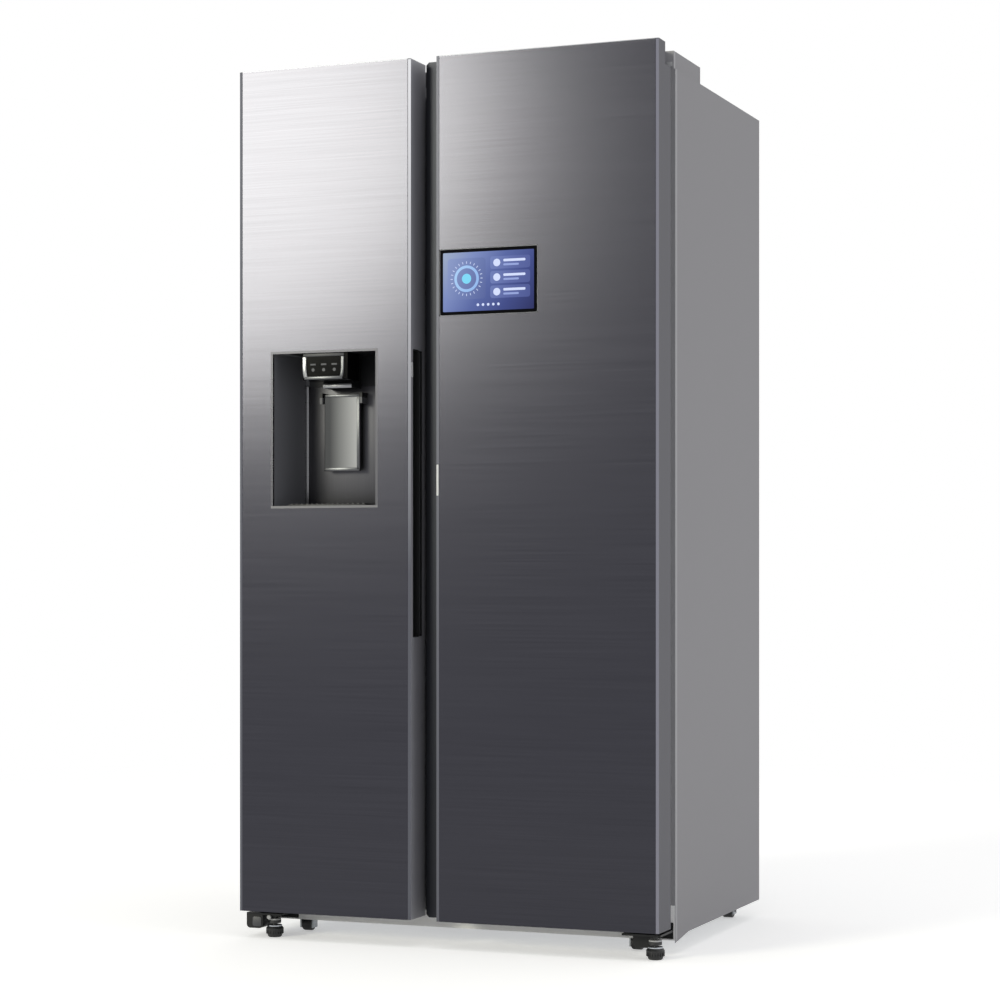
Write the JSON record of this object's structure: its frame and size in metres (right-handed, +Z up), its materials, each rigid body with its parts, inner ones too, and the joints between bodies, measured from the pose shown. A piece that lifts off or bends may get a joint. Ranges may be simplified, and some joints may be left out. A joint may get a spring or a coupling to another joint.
{
  "type": "side by side refrigerator",
  "caption": "Free-standing side by side refrigerator and freezer with two hinged doors, a water and ice dispenser and a touch display.",
  "frame": {"origin": "on the floor, at the middle of the width and of the whole depth with the doors shut", "axes": "+Z up, the doors face -Y, +X to the right of a person standing in front"},
  "size_m": [0.912, 0.716, 1.794],
  "materials": {
    "case_enamel": "satin",
    "dark_brushed_steel": "satin",
    "galvanised_steel": "matte",
    "white_liner": "gloss",
    "foam": "matte",
    "grey_plastic": "satin",
    "black_plastic": "matte",
    "gasket_rubber": "matte",
    "bright_trim": "polished",
    "satin_aluminium": "satin",
    "black_glass": "gloss",
    "clear_bin": "gloss",
    "shelf_glass": "gloss",
    "black_steel": "satin",
    "coil_metal": "satin",
    "frosted_lamp": "satin",
    "screw_zinc": "satin"
  },
  "bodies": {
    "cabinet": {"back_panel": "galvanised_steel", "base_frame": "galvanised_steel", "case_screws": "screw_zinc", "compressor": "black_steel", "condenser": "coil_metal", "evaporator": "coil_metal", "fan_shroud": "black_plastic", "foam_insulation": "foam", "freezer_duct_panel": "white_liner", "freezer_liner": "white_liner", "freezer_shelf_1": "shelf_glass", "freezer_shelf_2": "shelf_glass", "freezer_shelf_3": "shelf_glass", "fridge_duct_panel": "satin_aluminium", "fridge_liner": "white_liner", "fridge_shelf_1": "shelf_glass", "fridge_shelf_2": "shelf_glass", "fridge_shelf_3": "shelf_glass", "fridge_shelf_4": "shelf_glass", "front_rail": "case_enamel", "hinge_brackets": "black_steel", "hinge_covers": "grey_plastic", "interior_lamps": "frosted_lamp", "machine_cover": "galvanised_steel", "outer_case": "case_enamel", "shelf_trims": "satin_aluminium"},
    "freezer_door": {"freezer_door_skin": "dark_brushed_steel", "freezer_door_core": "foam", "freezer_door_liner": "white_liner", "freezer_door_gasket": "gasket_rubber", "freezer_door_caps": "grey_plastic", "handle_pocket": "black_plastic", "dispenser_housing": "grey_plastic", "dispenser_trim": "bright_trim", "dispenser_panel": "black_glass", "ice_chute": "satin_aluminium", "ice_maker": "white_liner", "ice_bucket": "clear_bin", "freezer_bins": "clear_bin"},
    "fridge_door": {"fridge_door_skin": "dark_brushed_steel", "fridge_door_core": "foam", "fridge_door_liner": "white_liner", "fridge_door_gasket": "gasket_rubber", "fridge_door_caps": "grey_plastic", "fridge_grip_rail": "satin_aluminium", "touch_display": "black_glass", "fridge_bins": "clear_bin"},
    "dispenser_lever": {"dispenser_lever": "satin_aluminium"},
    "dairy_cover": {"dairy_cover": "clear_bin"},
    "freezer_drawer_upper": {"freezer_drawer_upper": "clear_bin"},
    "freezer_drawer_lower": {"freezer_drawer_lower": "clear_bin"},
    "crisper_upper": {"crisper_upper": "clear_bin"},
    "crisper_lower": {"crisper_lower": "clear_bin"},
    "front_foot_left": {"front_foot_left": "black_plastic"},
    "front_foot_right": {"front_foot_right": "black_plastic"},
    "front_roller_left": {"front_roller_left": "black_plastic"},
    "front_roller_right": {"front_roller_right": "black_plastic"},
    "rear_rollers": {"rear_rollers": "black_plastic"},
    "condenser_fan": {"condenser_fan": "black_plastic"},
    "freezer_fan": {"freezer_fan": "grey_plastic"}
  },
  "joints": [
    {"name": "freezer_door_hinge", "type": "hinge", "parent": "cabinet", "child": "freezer_door", "pos_m": [-0.432, -0.3, 1], "axis": [0, 0, 1], "range_deg": [-120, 0]},
    {"name": "fridge_door_hinge", "type": "hinge", "parent": "cabinet", "child": "fridge_door", "pos_m": [0.432, -0.3, 1], "axis": [0, 0, -1], "range_deg": [-120, 0]},
    {"name": "freezer_drawer_upper_slide", "type": "slide", "parent": "cabinet", "child": "freezer_drawer_upper", "axis": [0, -1, 0], "range_m": [0, 0.2]},
    {"name": "freezer_drawer_lower_slide", "type": "slide", "parent": "cabinet", "child": "freezer_drawer_lower", "axis": [0, -1, 0], "range_m": [0, 0.2]},
    {"name": "crisper_upper_slide", "type": "slide", "parent": "cabinet", "child": "crisper_upper", "axis": [0, -1, 0], "range_m": [0, 0.2]},
    {"name": "crisper_lower_slide", "type": "slide", "parent": "cabinet", "child": "crisper_lower", "axis": [0, -1, 0], "range_m": [0, 0.2]},
    {"name": "dispenser_lever_pivot", "type": "hinge", "parent": "freezer_door", "child": "dispenser_lever", "pos_m": [-0.263, -0.267, 1.119], "axis": [1, 0, 0], "range_deg": [0, 5], "stiffness_Nm_per_rad": 0.4, "springref_deg": -17.19},
    {"name": "dairy_cover_pivot", "type": "hinge", "parent": "fridge_door", "child": "dairy_cover", "pos_m": [0.194, -0.26, 1.4945], "axis": [1, 0, 0], "range_deg": [0, 80]},
    {"name": "front_foot_left_screw", "type": "hinge", "parent": "cabinet", "child": "front_foot_left", "pos_m": [-0.395, -0.317, 0.029], "axis": [0, 0, 1], "continuous": true},
    {"name": "front_foot_right_screw", "type": "hinge", "parent": "cabinet", "child": "front_foot_right", "pos_m": [0.436, -0.317, 0.029], "axis": [0, 0, 1], "continuous": true},
    {"name": "front_roller_left_axle", "type": "hinge", "parent": "cabinet", "child": "front_roller_left", "pos_m": [-0.366, -0.216, 0.016], "axis": [1, 0, 0], "continuous": true},
    {"name": "front_roller_right_axle", "type": "hinge", "parent": "cabinet", "child": "front_roller_right", "pos_m": [0.366, -0.216, 0.016], "axis": [1, 0, 0], "continuous": true},
    {"name": "rear_rollers_axle", "type": "hinge", "parent": "cabinet", "child": "rear_rollers", "pos_m": [0, 0.31, 0.016], "axis": [1, 0, 0], "continuous": true},
    {"name": "condenser_fan_spindle", "type": "hinge", "parent": "cabinet", "child": "condenser_fan", "pos_m": [-0.245, 0.26, 0.13], "axis": [1, 0, 0], "continuous": true},
    {"name": "freezer_fan_spindle", "type": "hinge", "parent": "cabinet", "child": "freezer_fan", "pos_m": [-0.247, 0.247, 0.72], "axis": [0, 1, 0], "continuous": true}
  ],
  "couplings": [
    {"joint": "freezer_drawer_upper_slide", "follows": "freezer_door_hinge", "m_per_rad": -0.095},
    {"joint": "freezer_drawer_lower_slide", "follows": "freezer_door_hinge", "m_per_rad": -0.095},
    {"joint": "crisper_upper_slide", "follows": "fridge_door_hinge", "m_per_rad": -0.095},
    {"joint": "crisper_lower_slide", "follows": "fridge_door_hinge", "m_per_rad": -0.095}
  ]
}
